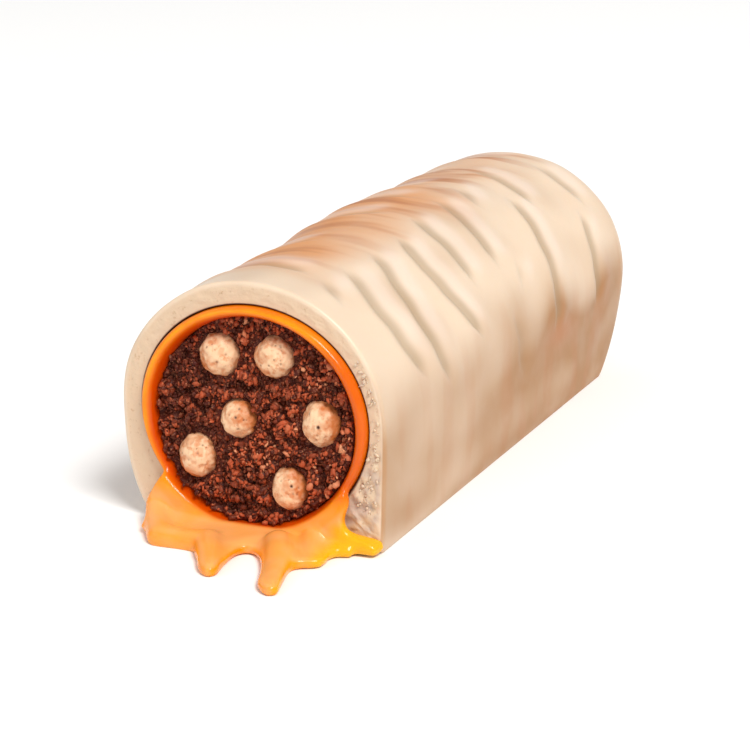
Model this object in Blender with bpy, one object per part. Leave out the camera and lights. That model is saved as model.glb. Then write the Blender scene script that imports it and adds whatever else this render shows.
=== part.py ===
"""A filled chocolate candy, cut across so that its filling shows.

A rippled pale coating with a flat base holds a caramel tube and a cocoa crumb core with
crisp balls. The cut faces -Y, and the origin is the middle of the flat base.
"""

import math

import bmesh
import bpy
from mathutils import Vector, noise

MM = 0.001

# Coating: the outer form. Its section is a tunnel, widest at the waist.
LENGTH = 51.5 * MM
HALF_WIDTH = 9.5 * MM
EXTRA_LEFT = 0.25 * MM  # the left side is this much fuller
HEIGHT = 17.2 * MM
WAIST_HEIGHT = 8.0 * MM
FOOT_LEFT = 7.0 * MM  # half width where the left side meets the base
FOOT_RIGHT = 9.2 * MM
CUT_Y = -LENGTH / 2
END_Y = LENGTH / 2
CUT_EDGE = 0.25 * MM  # softened outer edge of the cut
END_ROUND = 2.7 * MM  # rounding of the closed far end
END_DOME = 0.9 * MM  # bulge of the far end beyond its rounding
TOP_TAPER = 0.022  # share by which the top is lower at the far end than at the cut
END_TUCK = 5.0 * MM  # how far the foot of the far end is drawn in
TUCK_HEIGHT = 8.0 * MM
TUCK_CURVE = 2.0  # power by which the foot draws in more the lower it is
TUCK_LENGTH = 16.0 * MM  # stretch of the candy over which the foot is drawn in

GAP = 0.3 * MM  # clearance between layers

# Bore of the coating, an upright ellipse that holds the caramel.
BORE_X = 0.1 * MM
BORE_Z = 8.1 * MM
BORE_HALF_WIDTH = 8.5 * MM
BORE_HALF_HEIGHT = 7.8 * MM
BORE_END_Y = END_Y - 2.8 * MM

# Caramel: a tube with a rounded lip that stands proud of the cut.
TUBE_HALF_WIDTH = BORE_HALF_WIDTH - GAP
TUBE_HALF_HEIGHT = BORE_HALF_HEIGHT - GAP
TUBE_END_Y = BORE_END_Y - 2 * GAP
HOLE_HALF_WIDTH = 7.2 * MM
HOLE_HALF_HEIGHT = 6.9 * MM
HOLE_Z = 7.85 * MM  # a little below the bore's middle, so the caramel is thinnest there
LIP_OUT = 0.9 * MM
LIP_SLOPE = 0.5 * MM  # how much deeper the lip's inner edge lies

# Caramel that ran down the cut. Points across and up on the cut, from the left foot up to
# the tube, and from the tube down to the tail at the right foot.
APRON_LEFT = ((-7.2, 0.1), (-7.6, 0.8), (-7.6, 1.6), (-7.1, 2.5), (-6.6, 3.3))
APRON_RIGHT = ((7.0, 4.2), (7.3, 3.4), (6.9, 2.3), (7.2, 1.5), (8.2, 1.15), (9.2, 0.8), (9.3, 0.1))
APRON_ARC = (math.radians(-144), math.radians(-32))  # stretch of the tube's wall it joins
APRON_THICKNESS = 0.85 * MM
APRON_ROUND = 0.2 * MM

# Caramel that ran on over the table. Points across, at the cut, and ahead of the cut.
PUDDLE_EDGE = (
    (-7.2, 0.3), (-7.45, 2.2), (-6.9, 3.7), (-5.8, 4.3), (-4.5, 4.4), (-3.8, 5.3),
    (-3.6, 6.8), (-3.4, 8.2), (-2.75, 9.0), (-2.0, 8.4), (-1.6, 6.7), (-0.8, 4.5),
    (0.0, 3.9), (0.6, 4.5), (0.9, 6.0), (0.95, 7.8), (0.9, 9.5), (1.6, 10.4),
    (2.35, 9.5), (2.4, 7.6), (3.0, 5.6), (4.2, 4.8), (5.2, 4.2), (5.6, 2.8), (6.2, 2.0),
    (7.2, 1.7), (7.0, 0.3),
)
PUDDLE_BACK = GAP + 0.07 * MM  # inside the apron's thickness, so the two join
PUDDLE_HEIGHT = 1.05 * MM
PUDDLE_ROUND = 0.34 * MM
PUDDLE_SLANT = math.radians(23)  # the tongues run this far to the right of straight ahead

# Core: cocoa crumb. Its face leans, so that it lies behind the cut at the top and ahead of
# it at the bottom.
CORE_HALF_WIDTH = HOLE_HALF_WIDTH - GAP
CORE_HALF_HEIGHT = HOLE_HALF_HEIGHT - GAP
CORE_RECESS = 0.2 * MM  # how far behind the cut the middle of the face lies
CORE_LEAN = 0.6 * MM  # how much further back the face lies at its top, and further ahead below
CRUMB_RELIEF = 0.3 * MM
CRUMB_SIZE = 1.1 * MM

# Crisp balls set in the core: across and up from the core's middle, radius and height share.
CRISPS = (
    (-2.75, 4.00, 1.45, 1.03),
    (1.25, 4.25, 1.42, 1.0),
    (-1.25, -0.10, 1.32, 1.0),
    (4.70, 0.25, 1.38, 1.14),
    (-4.15, -2.95, 1.42, 1.08),
    (2.60, -4.30, 1.34, 1.10),
)
CRISP_SUNK = 0.45 * MM  # middle of a ball behind the core's face
CRISP_RELIEF = 0.09 * MM
CRISP_LUMPS = 2.3  # lumps of a ball in its radius
CRISP_SHRINK = 0.4  # share of the relief by which a ball is smaller, so no lump fills its socket

# Folds of the coating. A fold runs through three points, each given as degrees from the top,
# right being positive, and millimetres behind the cut. Its depth in millimetres comes last.
FOLDS = (
    ((14, 5.2), (26, 3.6), (38, 2.6), 0.35),
    ((16, 8.2), (44, 5.6), (82, 8.2), 0.42),
    ((14, 13.0), (46, 9.8), (90, 11.8), 0.45),
    ((14, 17.8), (44, 15.1), (80, 18.6), 0.62),
    ((6, 23.0), (30, 20.6), (58, 20.4), 0.45),
    ((4, 28.6), (32, 25.7), (56, 25.0), 0.45),
    ((50, 28.5), (60, 27.6), (72, 26.8), 0.24),
    ((70, 24.0), (92, 24.6), (116, 26.0), 0.20),
    ((0, 33.8), (14, 31.8), (28, 30.6), 0.32),
    ((24, 35.7), (54, 33.7), (100, 32.4), 0.50),
    ((-8, 39.6), (14, 38.4), (40, 37.4), 0.40),
    ((12, 46.0), (32, 45.0), (52, 45.3), 0.36),
    ((48, 43.6), (72, 42.0), (102, 42.3), 0.50),
    ((-85, 6.4), (-35, 5.2), (16, 4.6), 0.42),
    ((-82, 12.6), (-45, 11.6), (-5, 13.4), 0.38),
    ((-78, 21.8), (-40, 21.0), (2, 22.6), 0.40),
    ((-80, 27.4), (-42, 27.0), (0, 28.4), 0.36),
    ((-76, 32.6), (-38, 32.4), (-4, 33.6), 0.32),
    ((-84, 38.8), (-46, 38.2), (-12, 39.6), 0.36),
    ((-78, 45.2), (-40, 44.8), (8, 46.0), 0.32),
    ((-128, 17.0), (-105, 16.0), (-78, 16.6), 0.28),
    ((-124, 30.4), (-100, 29.6), (-74, 30.2), 0.30),
    ((-126, 42.6), (-102, 41.6), (-78, 42.2), 0.28),
)
FOLD_HALF_WIDTH = 0.75 * MM
FOLD_FADE = 14  # degrees over which the ends of a fold fade out
SWELL_HALF_WIDTH = 2.1 * MM  # the soft rise on both sides of a fold
SWELL_SHARE = 0.4
# Bulges of the left shoulder: millimetres behind the cut, reach along the candy, and rise.
BULGES = ((26, 8, 0.65), (42, 9, 0.45))
BULGE_ANGLE = -36
BULGE_SPAN = 27
PLAIN_FOOT = 4.0 * MM  # height from the base over which the folds come in
PLAIN_END = 0.45 * MM  # stretch of the far end that has no folds

AROUND = 56  # facets round the bore and the tube
AROUND_COATING = 50
AROUND_CORE = 48
END_RINGS = 4  # rings of facets that close the far end of the bore and of the core
SHARP_ANGLE = math.radians(40)  # edges sharper than this stay sharp in the shading


def clear_scene():
    for thing in list(bpy.data.objects):
        bpy.data.objects.remove(thing, do_unlink=True)


def make_material(name, colour, roughness):
    material = bpy.data.materials.new(name)
    material.use_nodes = True
    shader = material.node_tree.nodes["Principled BSDF"]
    shader.inputs["Base Color"].default_value = (*colour, 1.0)
    shader.inputs["Roughness"].default_value = roughness
    shader.inputs["Metallic"].default_value = 0.0
    material.diffuse_color = (*colour, 1.0)
    return material


def add_object(name, bm, material=None):
    """Turns a bmesh into a named object, shaded smooth but for its sharp edges."""
    bmesh.ops.remove_doubles(bm, verts=bm.verts, dist=0.001 * MM)
    bmesh.ops.recalc_face_normals(bm, faces=bm.faces)
    mesh = bpy.data.meshes.new(name)
    bm.to_mesh(mesh)
    bm.free()
    if material:
        mesh.materials.append(material)
    mesh.shade_smooth()
    mesh.set_sharp_from_angle(angle=SHARP_ANGLE)
    thing = bpy.data.objects.new(name, mesh)
    bpy.context.scene.collection.objects.link(thing)
    return thing


def combine(body, operation, tools):
    """Applies a Boolean with each tool in turn, and removes the tools."""
    for tool in tools:
        boolean = body.modifiers.new("boolean", "BOOLEAN")
        boolean.operation = operation
        boolean.solver = "EXACT"
        boolean.object = tool
        evaluated = body.evaluated_get(bpy.context.evaluated_depsgraph_get())
        result = bpy.data.meshes.new_from_object(evaluated)
        body.modifiers.remove(boolean)
        body.data = result
        bpy.data.objects.remove(tool, do_unlink=True)
    body.data.shade_smooth()
    body.data.set_sharp_from_angle(angle=SHARP_ANGLE)


def loft(name, profile, columns, place, material=None):
    """Wraps a grid round the object: one row for each profile entry, as place() puts it."""
    bm = bmesh.new()
    rows = len(profile) - 1
    bmesh.ops.create_grid(bm, x_segments=columns, y_segments=rows, size=1.0)
    for vert in bm.verts:
        entry = profile[round((vert.co.y + 1) / 2 * rows)]
        vert.co = place((vert.co.x + 1) / 2, *entry)
    return add_object(name, bm, material)


def ellipse_point(across, middle_x, middle_z, half_width, half_height):
    turn = 2 * math.pi * across
    return middle_x + half_width * math.cos(turn), middle_z + half_height * math.sin(turn)


def smooth_step(value):
    value = min(1.0, max(0.0, value))
    return value * value * (3 - 2 * value)


def smooth_line(points):
    """A Catmull-Rom curve through the points, which it keeps."""
    line = []
    steps = 2
    padded = [points[0], *points, points[-1]]
    for a, b, c, d in zip(padded, padded[1:], padded[2:], padded[3:]):
        for step in range(steps):
            t = step / steps
            weights = (
                -0.5 * t + t * t - 0.5 * t**3,
                1 - 2.5 * t * t + 1.5 * t**3,
                0.5 * t + 2 * t * t - 1.5 * t**3,
                -0.5 * t * t + 0.5 * t**3,
            )
            line.append(sum((w * Vector(p) for w, p in zip(weights, (a, b, c, d))), Vector((0, 0))))
    line.append(Vector(points[-1]))
    return line


def parabola(points, angle):
    """The value at that angle of the parabola through three points (angle, value)."""
    (a, at_a), (b, at_b), (c, at_c) = points
    return (
        at_a * (angle - b) * (angle - c) / ((a - b) * (a - c))
        + at_b * (angle - a) * (angle - c) / ((b - a) * (b - c))
        + at_c * (angle - a) * (angle - b) / ((c - a) * (c - b))
    )


def fold_rise(behind_cut, angle):
    """Rise of the coating's surface: bulges, folds, and the swells on both sides of a fold."""
    rise = 0.0
    for place, reach, height in BULGES:
        off_place = (behind_cut / MM - place) / reach
        off_angle = (angle - BULGE_ANGLE) / BULGE_SPAN
        rise += height * MM * math.exp(-(off_place**2) - off_angle**2)
    for *points, depth in FOLDS:
        start, end = points[0][0], points[2][0]
        if start < angle < end:
            offset = behind_cut - parabola(points, angle) * MM
            run = smooth_step((angle - start) / FOLD_FADE) * smooth_step((end - angle) / FOLD_FADE)
            swell = SWELL_SHARE * math.exp(-((offset / SWELL_HALF_WIDTH) ** 2))
            groove = math.exp(-((offset / FOLD_HALF_WIDTH) ** 2))
            rise += depth * MM * run * (swell - groove)
    return rise


def section_point(across):
    """Point (x, z) of the coating's section, and its angle from the top.

    It runs from the right foot along the base, up the left side, over the arch and down.
    """
    base, side = 0.1, 0.16
    arch = 1 - base - 2 * side
    if across <= base:
        return FOOT_RIGHT - across / base * (FOOT_LEFT + FOOT_RIGHT), 0.0, 180.0
    if base + side < across < base + side + arch:
        angle = -90 + 180 * (across - base - side) / arch
        half_width = HALF_WIDTH + (EXTRA_LEFT if angle < 0 else 0)
        x = half_width * math.sin(math.radians(angle))
        return x, WAIST_HEIGHT + (HEIGHT - WAIST_HEIGHT) * math.cos(math.radians(angle)), angle
    left = across <= base + side
    down = (base + side - across) / side if left else (across - 1 + side) / side
    foot, half_width, hand = FOOT_RIGHT, HALF_WIDTH, 1
    if left:
        foot, half_width, hand = FOOT_LEFT, HALF_WIDTH + EXTRA_LEFT, -1
    x = foot + (half_width - foot) * math.cos(math.radians(90 * down))
    return hand * x, WAIST_HEIGHT * (1 - math.sin(math.radians(90 * down))), hand * (90 + 90 * down)


def tucked(y, z):
    """y, drawn back where the foot of the far end curves under the candy."""
    near_end = smooth_step((y - END_Y + TUCK_LENGTH) / TUCK_LENGTH)
    return y - END_TUCK * near_end * max(0.0, 1 - z / TUCK_HEIGHT) ** TUCK_CURVE


def coating_profile():
    """Rows of the coating as (y, inset): the cut, the folded length and the rounded end."""
    stations, end_rows, dome_rows = 57, 5, 4
    straight = LENGTH - CUT_EDGE - END_ROUND - END_DOME
    rows = [(CUT_Y, HALF_WIDTH), (CUT_Y, CUT_EDGE)]
    rows += [(CUT_Y + CUT_EDGE + straight * step / stations, 0.0) for step in range(stations + 1)]
    for step in range(1, end_rows + 1):
        turn = math.radians(90 * step / end_rows)
        y = END_Y - END_DOME - END_ROUND * (1 - math.sin(turn))
        rows.append((y, END_ROUND * (1 - math.cos(turn))))
    for step in range(1, dome_rows + 1):
        share = step / dome_rows
        rows.append((END_Y - END_DOME * (1 - share) ** 2, END_ROUND + share * (HALF_WIDTH - END_ROUND)))
    return rows


def coating_place(across, y, inset):
    x, z, angle = section_point(across)
    if z > 0 and inset < HALF_WIDTH:
        rise = fold_rise(y - CUT_Y, angle) * smooth_step((END_Y - PLAIN_END - y) / END_ROUND)
        rise *= smooth_step(z / PLAIN_FOOT)
        outward = Vector((x / HALF_WIDTH, (z - WAIST_HEIGHT) / WAIST_HEIGHT)).normalized()
        x += outward.x * rise
        z += outward.y * rise
    z *= 1 - TOP_TAPER * (y - CUT_Y) / LENGTH
    scale = 1 - inset / HALF_WIDTH
    if y > 0:
        # The far end keeps its base on the table until the dome.
        drop = 1 - min(inset, END_ROUND) / HEIGHT
        dome = max(0.0, inset - END_ROUND) / (HALF_WIDTH - END_ROUND)
        z = z * drop * (1 - dome) + HEIGHT / 2 * dome
    else:
        z = HEIGHT / 2 + (z - HEIGHT / 2) * scale
    return Vector((x * scale, tucked(y, z), z))


def build_coating(material):
    coating = loft("coating", coating_profile(), AROUND_COATING, coating_place, material)
    ahead = CUT_Y - 2 * MM
    plug_profile = [(ahead, 0.0), (ahead, 1.0)]
    plug_profile += [(BORE_END_Y, 1 - step / END_RINGS) for step in range(END_RINGS + 1)]

    def plug_place(across, y, size):
        x, z = ellipse_point(
            across, BORE_X, BORE_Z, BORE_HALF_WIDTH * size, BORE_HALF_HEIGHT * size
        )
        return Vector((x, tucked(y, z), z))

    plug = loft("bore_plug", plug_profile, AROUND, plug_place)
    plug.hide_render = True
    plug.display_type = "WIRE"
    combine(coating, "DIFFERENCE", [plug])


def build_tube(material):
    """The caramel tube: a rounded lip, the wall of its hole, the far end and the outside."""
    lip_steps = 8
    profile = []
    for step in range(lip_steps + 1):
        turn = math.pi * step / lip_steps
        inward = (1 - math.cos(turn)) / 2
        profile.append((inward, CUT_Y - LIP_OUT * math.sin(turn) + LIP_SLOPE * inward))
    profile += [(1.0, TUBE_END_Y), (0.0, TUBE_END_Y), profile[0]]

    def place(across, inward, y):
        x, z = ellipse_point(
            across,
            BORE_X,
            BORE_Z + (HOLE_Z - BORE_Z) * inward,
            TUBE_HALF_WIDTH + (HOLE_HALF_WIDTH - TUBE_HALF_WIDTH) * inward,
            TUBE_HALF_HEIGHT + (HOLE_HALF_HEIGHT - TUBE_HALF_HEIGHT) * inward,
        )
        return Vector((x, tucked(y, z), z))

    return loft("caramel", profile, AROUND, place, material)


def pillow(name, outline, upward, thickness, rounding):
    """A slab on an outline, with its far face raised along upward and its edge rounded."""
    bm = bmesh.new()
    face = bm.faces.new([bm.verts.new(point) for point in outline])
    face.normal_update()
    if face.normal.dot(upward) < 0:
        face.normal_flip()
    raised = bmesh.ops.extrude_face_region(bm, geom=[face])["geom"]
    top_verts = [item for item in raised if isinstance(item, bmesh.types.BMVert)]
    top = next(item for item in raised if isinstance(item, bmesh.types.BMFace))
    bmesh.ops.translate(bm, verts=top_verts, vec=upward * (thickness - rounding))
    steps = 3
    for step in range(1, steps + 1):
        before, after = (math.radians(90 * count / steps) for count in (step - 1, step))
        bmesh.ops.inset_region(
            bm,
            faces=[top],
            thickness=rounding * (math.cos(before) - math.cos(after)),
            depth=rounding * (math.sin(after) - math.sin(before)),
            use_even_offset=True,
        )
    return add_object(name, bm)


def build_apron():
    """The sheet of caramel on the lower cut, from the tube's wall to the table."""
    start, end = APRON_ARC
    arc = []
    arc_steps = 22
    for step in range(arc_steps + 1):
        turn = start + (end - start) * step / arc_steps
        across = turn / (2 * math.pi)
        arc.append(
            ellipse_point(
                across,
                BORE_X,
                (BORE_Z + HOLE_Z) / 2,
                (TUBE_HALF_WIDTH + HOLE_HALF_WIDTH) / 2,
                (TUBE_HALF_HEIGHT + HOLE_HALF_HEIGHT) / 2,
            )
        )
    left = [point * MM for point in smooth_line(APRON_LEFT)]
    right = [point * MM for point in smooth_line(APRON_RIGHT)]
    outline = [Vector((x, CUT_Y - GAP, z)) for x, z in [*left, *arc, *right]]
    return pillow("apron", outline, Vector((0, -1, 0)), APRON_THICKNESS, APRON_ROUND)


def build_puddle():
    """The tongues of caramel on the table."""
    outline = []
    for across, ahead in smooth_line(PUDDLE_EDGE):
        x = (across + ahead * math.sin(PUDDLE_SLANT)) * MM
        y = CUT_Y - max(ahead * math.cos(PUDDLE_SLANT) * MM, PUDDLE_BACK)
        outline.append(Vector((x, y, 0)))
    return pillow("puddle", outline, Vector((0, 0, 1)), PUDDLE_HEIGHT, PUDDLE_ROUND)


def core_face(z):
    """Where the face of the core lies at that height."""
    return CUT_Y + CORE_RECESS + CORE_LEAN * (z - HOLE_Z) / CORE_HALF_HEIGHT


def build_core(material):
    """The crumb core: a rough face with a socket for each ball, and a plain outside."""
    face_rings = 11
    profile = [(CUT_Y, step / face_rings) for step in range(face_rings + 1)]
    profile += [(TUBE_END_Y, 1 - step / END_RINGS) for step in range(END_RINGS + 1)]

    def place(across, y, size):
        x, z = ellipse_point(across, BORE_X, HOLE_Z, CORE_HALF_WIDTH * size, CORE_HALF_HEIGHT * size)
        if y < 0:
            y = core_face(z) + CRUMB_RELIEF * noise.noise(Vector((x, 0, z)) / CRUMB_SIZE)
        return Vector((x, tucked(y, z), z))

    core = loft("filling", profile, AROUND_CORE, place, material)
    sockets = [ball(f"socket_{number}", crisp, GAP) for number, crisp in enumerate(CRISPS, 1)]
    combine(core, "DIFFERENCE", sockets)


def ball(name, crisp, extra, material=None):
    """A lumpy crisp ball, or with extra its larger, smooth socket."""
    across, up, radius, tallness = crisp
    z = HOLE_Z + up * MM
    middle = Vector((BORE_X + across * MM, core_face(z) + CRISP_SUNK, z))
    bm = bmesh.new()
    bmesh.ops.create_icosphere(bm, subdivisions=3, radius=1.0)
    for vert in bm.verts:
        reach = radius * MM + extra
        if not extra:
            lump = noise.noise(vert.co * CRISP_LUMPS + middle / MM)
            reach += CRISP_RELIEF * (lump - CRISP_SHRINK)
        vert.co = middle + Vector((vert.co.x, vert.co.y, vert.co.z * tallness)) * reach
    return add_object(name, bm, material)


def main():
    clear_scene()
    build_coating(make_material("pale_coating", (0.77, 0.57, 0.35), 0.38))
    caramel = build_tube(make_material("caramel", (0.91, 0.26, 0.01), 0.18))
    combine(caramel, "UNION", [build_apron(), build_puddle()])
    build_core(make_material("cocoa_crumb", (0.055, 0.014, 0.006), 0.7))
    crisp_material = make_material("rice_crisp", (0.89, 0.65, 0.40), 0.55)
    for number, crisp in enumerate(CRISPS, 1):
        ball(f"crisp_{number}", crisp, 0.0, crisp_material)


main()
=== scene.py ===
"""A filled chocolate candy, cut across, dressed over its solid parts.

The pale coating, the caramel, the cocoa crumb core and the crisp balls are each modelled by
an operator of their own. Sizes are in metres, the cut faces -Y and the base lies on Z = 0.
"""

import math
import random

import bmesh
import bpy
from bpy.props import FloatProperty, FloatVectorProperty, IntProperty, PointerProperty
from mathutils import Euler, Matrix, Vector, noise


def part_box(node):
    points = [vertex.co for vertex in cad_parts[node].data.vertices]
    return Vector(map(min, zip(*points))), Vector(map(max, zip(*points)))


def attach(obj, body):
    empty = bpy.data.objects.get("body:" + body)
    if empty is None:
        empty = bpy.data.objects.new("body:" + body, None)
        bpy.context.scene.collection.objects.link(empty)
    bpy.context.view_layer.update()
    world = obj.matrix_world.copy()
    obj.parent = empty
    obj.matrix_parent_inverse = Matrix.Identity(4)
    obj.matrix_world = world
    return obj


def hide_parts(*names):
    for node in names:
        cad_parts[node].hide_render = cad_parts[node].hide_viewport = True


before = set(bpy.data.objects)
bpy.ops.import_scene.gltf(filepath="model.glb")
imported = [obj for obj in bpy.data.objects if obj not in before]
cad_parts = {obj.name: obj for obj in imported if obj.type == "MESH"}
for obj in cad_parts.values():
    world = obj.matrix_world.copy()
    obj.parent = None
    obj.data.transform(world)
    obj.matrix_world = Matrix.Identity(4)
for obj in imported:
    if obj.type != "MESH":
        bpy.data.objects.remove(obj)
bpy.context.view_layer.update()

bl_info = {
    "name": "Filled Candy",
    "version": (1, 0, 0),
    "blender": (4, 5, 0),
    "location": "View3D > Sidebar > Candy",
    "description": "Models a filled chocolate candy that is cut across",
    "category": "Add Mesh",
}

MM = 0.001
WELD = 0.0005 * MM  # points of a grid that lie closer than this become one
SOLID_WELD = 0.001 * MM  # the same for the points of a solid
PLANE_SLACK = 1e-7  # metres from a cutting plane within which a point lies on it

COATING_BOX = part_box("coating")
CUT_Y = COATING_BOX[0][1]
END_Y = COATING_BOX[1][1]
LENGTH = END_Y - CUT_Y

# The coating's section: a tunnel that is widest at its waist.
HALF_WIDTH = 9.5 * MM
EXTRA_LEFT = 0.25 * MM
HEIGHT = 17.2 * MM
WAIST_HEIGHT = 8.0 * MM
FOOT_LEFT = 7.0 * MM
FOOT_RIGHT = 9.2 * MM
CUT_EDGE = 0.25 * MM
END_ROUND = 2.7 * MM
END_DOME = 0.9 * MM
TOP_TAPER = 0.022
END_TUCK = 5.0 * MM
TUCK_HEIGHT = 8.0 * MM
TUCK_CURVE = 2.0
TUCK_LENGTH = 16.0 * MM

# The bore closes in on the caramel, so that only a hairline shows between the two.
BORE_X = 0.1 * MM
BORE_Z = 8.1 * MM
BORE_HALF_WIDTH = 8.24 * MM
BORE_HALF_HEIGHT = 7.54 * MM
BORE_END_Y = END_Y - 2.8 * MM
TUBE_END_Y = END_Y - 3.4 * MM
HOLE_HALF_WIDTH = 7.2 * MM
HOLE_HALF_HEIGHT = 6.9 * MM
HOLE_Z = 7.85 * MM
CORE_RECESS = 0.2 * MM
CORE_LEAN = 0.6 * MM  # the core's face lies this much further back at its top than at its middle
CORE_GAP = 0.02 * MM  # between the core and the caramel round it

# Folds of the coating. A fold runs through three points, each given as degrees from the top,
# right being positive, and millimetres behind the cut. Its depth in millimetres comes last.
FOLDS = (
    ((14, 5.2), (26, 3.6), (38, 2.6), 0.35),
    ((16, 8.2), (44, 5.6), (82, 8.2), 0.42),
    ((14, 13.0), (46, 9.8), (90, 11.8), 0.45),
    ((14, 17.8), (44, 15.1), (80, 18.6), 0.62),
    ((6, 23.0), (30, 20.6), (58, 20.4), 0.45),
    ((4, 28.6), (32, 25.7), (56, 25.0), 0.45),
    ((50, 28.5), (60, 27.6), (72, 26.8), 0.24),
    ((70, 24.0), (92, 24.6), (116, 26.0), 0.20),
    ((0, 33.8), (14, 31.8), (28, 30.6), 0.32),
    ((24, 35.7), (54, 33.7), (100, 32.4), 0.50),
    ((-8, 39.6), (14, 38.4), (40, 37.4), 0.40),
    ((12, 46.0), (32, 45.0), (52, 45.3), 0.36),
    ((48, 43.6), (72, 42.0), (102, 42.3), 0.50),
    ((-85, 6.4), (-35, 5.2), (16, 4.6), 0.42),
    ((-82, 12.6), (-45, 11.6), (-5, 13.4), 0.38),
    ((-78, 21.8), (-40, 21.0), (2, 22.6), 0.40),
    ((-80, 27.4), (-42, 27.0), (0, 28.4), 0.36),
    ((-76, 32.6), (-38, 32.4), (-4, 33.6), 0.32),
    ((-84, 38.8), (-46, 38.2), (-12, 39.6), 0.36),
    ((-78, 45.2), (-40, 44.8), (8, 46.0), 0.32),
    ((-128, 17.0), (-105, 16.0), (-78, 16.6), 0.28),
    ((-124, 30.4), (-100, 29.6), (-74, 30.2), 0.30),
    ((-126, 42.6), (-102, 41.6), (-78, 42.2), 0.28),
)
FOLD_FADE = 14  # degrees over which a fold runs out at each end
FOLD_WOBBLE = 0.3  # millimetres that a fold strays from its line
GROOVE_SHARE = 0.85  # share of a fold's depth that its crease cuts in
SOFT_SIDE = 2.2  # how many times wider a crease is behind than in front
SHADE_WIDTH = 1.6  # how many times wider its painted shade is than its steep side
FULL_DEPTH = 0.48  # depth in millimetres at which a crease gets its full painted shade
SWELL_HALF_WIDTH = 2.1 * MM
SWELL_SHARE = 0.4
HIGHLIGHT_BEHIND = 1.7 * MM  # how far behind its crease the painted highlight of a fold is strongest
HIGHLIGHT_HALF_WIDTH = 1.1 * MM
# Bulges of the left shoulder: millimetres behind the cut, reach along the candy, and rise.
BULGES = ((26, 8, 0.65), (42, 9, 0.45))
BULGE_ANGLE = -36
BULGE_SPAN = 27
PLAIN_FOOT = 4.0 * MM
PLAIN_END = 0.45 * MM
LUMP_SIZE = 3.5 * MM
LUMP_HEIGHT = 0.07 * MM

# The cut is grainy. It has crumbled to the right of one place and below one height.
CUT_GRAIN = 0.06  # height of the grain in millimetres
CRUMBLED_GRAIN = 0.2  # what crumbling adds to it
CRUMBLED_X = 5.2 * MM
CRUMBLED_Z = 9 * MM
GAP_SHADE_START = 0.86  # share of the way from the cut's rim to the bore where the painted shade of the gap starts

# Runs of caramel that melt into each other. Each point is across, ahead of the cut, above the
# table, and the run's radius there, in millimetres.
DRIPS = (
    (
        (-6.9, 0.5, 1.5, 0.6),
        (-6.7, 1.0, 1.1, 0.8),
        (-6.0, 2.2, 0.5, 0.95),
        (-4.9, 3.8, 0.35, 0.95),
    ),
    ((-4.9, 3.8, 0.35, 0.95), (-3.2, 3.7, 0.3, 0.9), (-1.7, 3.7, 0.3, 0.95)),
    ((-1.5, 3.6, 0.3, 1.05), (-0.6, 5.1, 0.3, 1.0), (0.2, 6.5, 0.3, 0.78), (0.75, 7.6, 0.3, 0.58)),
    ((3.0, 2.4, 0.45, 1.1), (3.9, 4.1, 0.35, 1.15), (4.6, 5.9, 0.35, 0.8), (5.75, 9.0, 0.3, 0.52)),
    ((4.9, 1.4, 0.6, 0.85), (5.65, 3.0, 0.35, 0.75)),
    ((6.4, 0.5, 0.7, 0.65), (7.7, 0.4, 0.68, 0.6), (9.0, 0.2, 0.58, 0.5)),
)


def linear(code):
    """The linear colour of an sRGB hex code."""
    channels = (int(code[place : place + 2], 16) / 255 for place in (1, 3, 5))
    return tuple(c / 12.92 if c <= 0.04045 else ((c + 0.055) / 1.055) ** 2.4 for c in channels)


def smooth_step(value):
    value = min(1.0, max(0.0, value))
    return value * value * (3 - 2 * value)


def colour_property(name, code, description):
    return FloatVectorProperty(
        name=name,
        description=description,
        subtype="COLOR",
        size=3,
        min=0,
        max=1,
        default=linear(code),
    )


def length_property(name, default, description):
    return FloatProperty(name=name, description=description, unit="LENGTH", min=0, default=default)


class CoatingSettings(bpy.types.PropertyGroup):
    crease: length_property("Crease", 0.65 * MM, "Half width of the steep side of a crease")
    fold_depth: FloatProperty(
        name="Fold depth",
        description="Depth of the folds",
        subtype="FACTOR",
        min=0,
        max=2,
        default=1.0,
    )
    cream: colour_property("Cream", "#E5CDB3", "Main colour of the coating")
    # The highlight colour is a painted highlight, where a fold swells behind its crease.
    highlight: colour_property("Painted highlight", "#F4E0D2", "Paler tint where a fold stands out")
    # On the lower sides the tan is painted shade; it also mottles the coating and specks the cut.
    tan: colour_property("Tan", "#A5743E", "Colour of the lower sides")
    # On the upper left side the blush is also painted shade, where that side turns from the key
    # light.
    blush: colour_property("Blush", "#DC9658", "Warm tint of the top")
    streak: colour_property("Streak", "#B56C34", "Colour of the streaks along the folds")
    # Painted shade: the creases of the folds are coloured darker.
    crease_shade_colour: colour_property("Crease", "#8F7650", "Colour in the creases of the folds")
    cut_colour: colour_property("Cut", "#DEC3A5", "Colour of the cut through the coating")
    crumb_colour: colour_property("Broken cut", "#CDB5A2", "Colour where the cut has crumbled")
    # Painted shade: the dark hairline and the bore stand for the shade in the gap round the
    # caramel.
    gap_shade_colour: colour_property("Seam", "#4A2408", "Colour of the hairline round the caramel")
    crumbs: IntProperty(name="Crumbs", description="Loose crumbs on the cut", min=0, default=90)


class CaramelSettings(bpy.types.PropertyGroup):
    grid: length_property("Grid", 0.12 * MM, "Size of the cells that the caramel is remeshed with")
    smoothing: IntProperty(name="Smoothing", description="Passes of smoothing", min=0, default=24)
    bright: colour_property("Bright", "#FF9A0A", "Colour of the caramel's lip")
    # The deep colour is painted shade on the lip's inner wall, outer edge, right side and the tube
    # behind the cut; it is also mixed in at random.
    deep: colour_property("Deep", "#D04400", "Colour where the caramel is thick or faces inwards")
    # The peach also stands for painted light on the faces of the sheet that turn up or forward.
    peach: colour_property("Peach", "#FCAB62", "Colour of the thin sheet that ran out")
    amber: colour_property("Amber", "#F4AE14", "Colour of the thin tail at the right foot")


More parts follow.
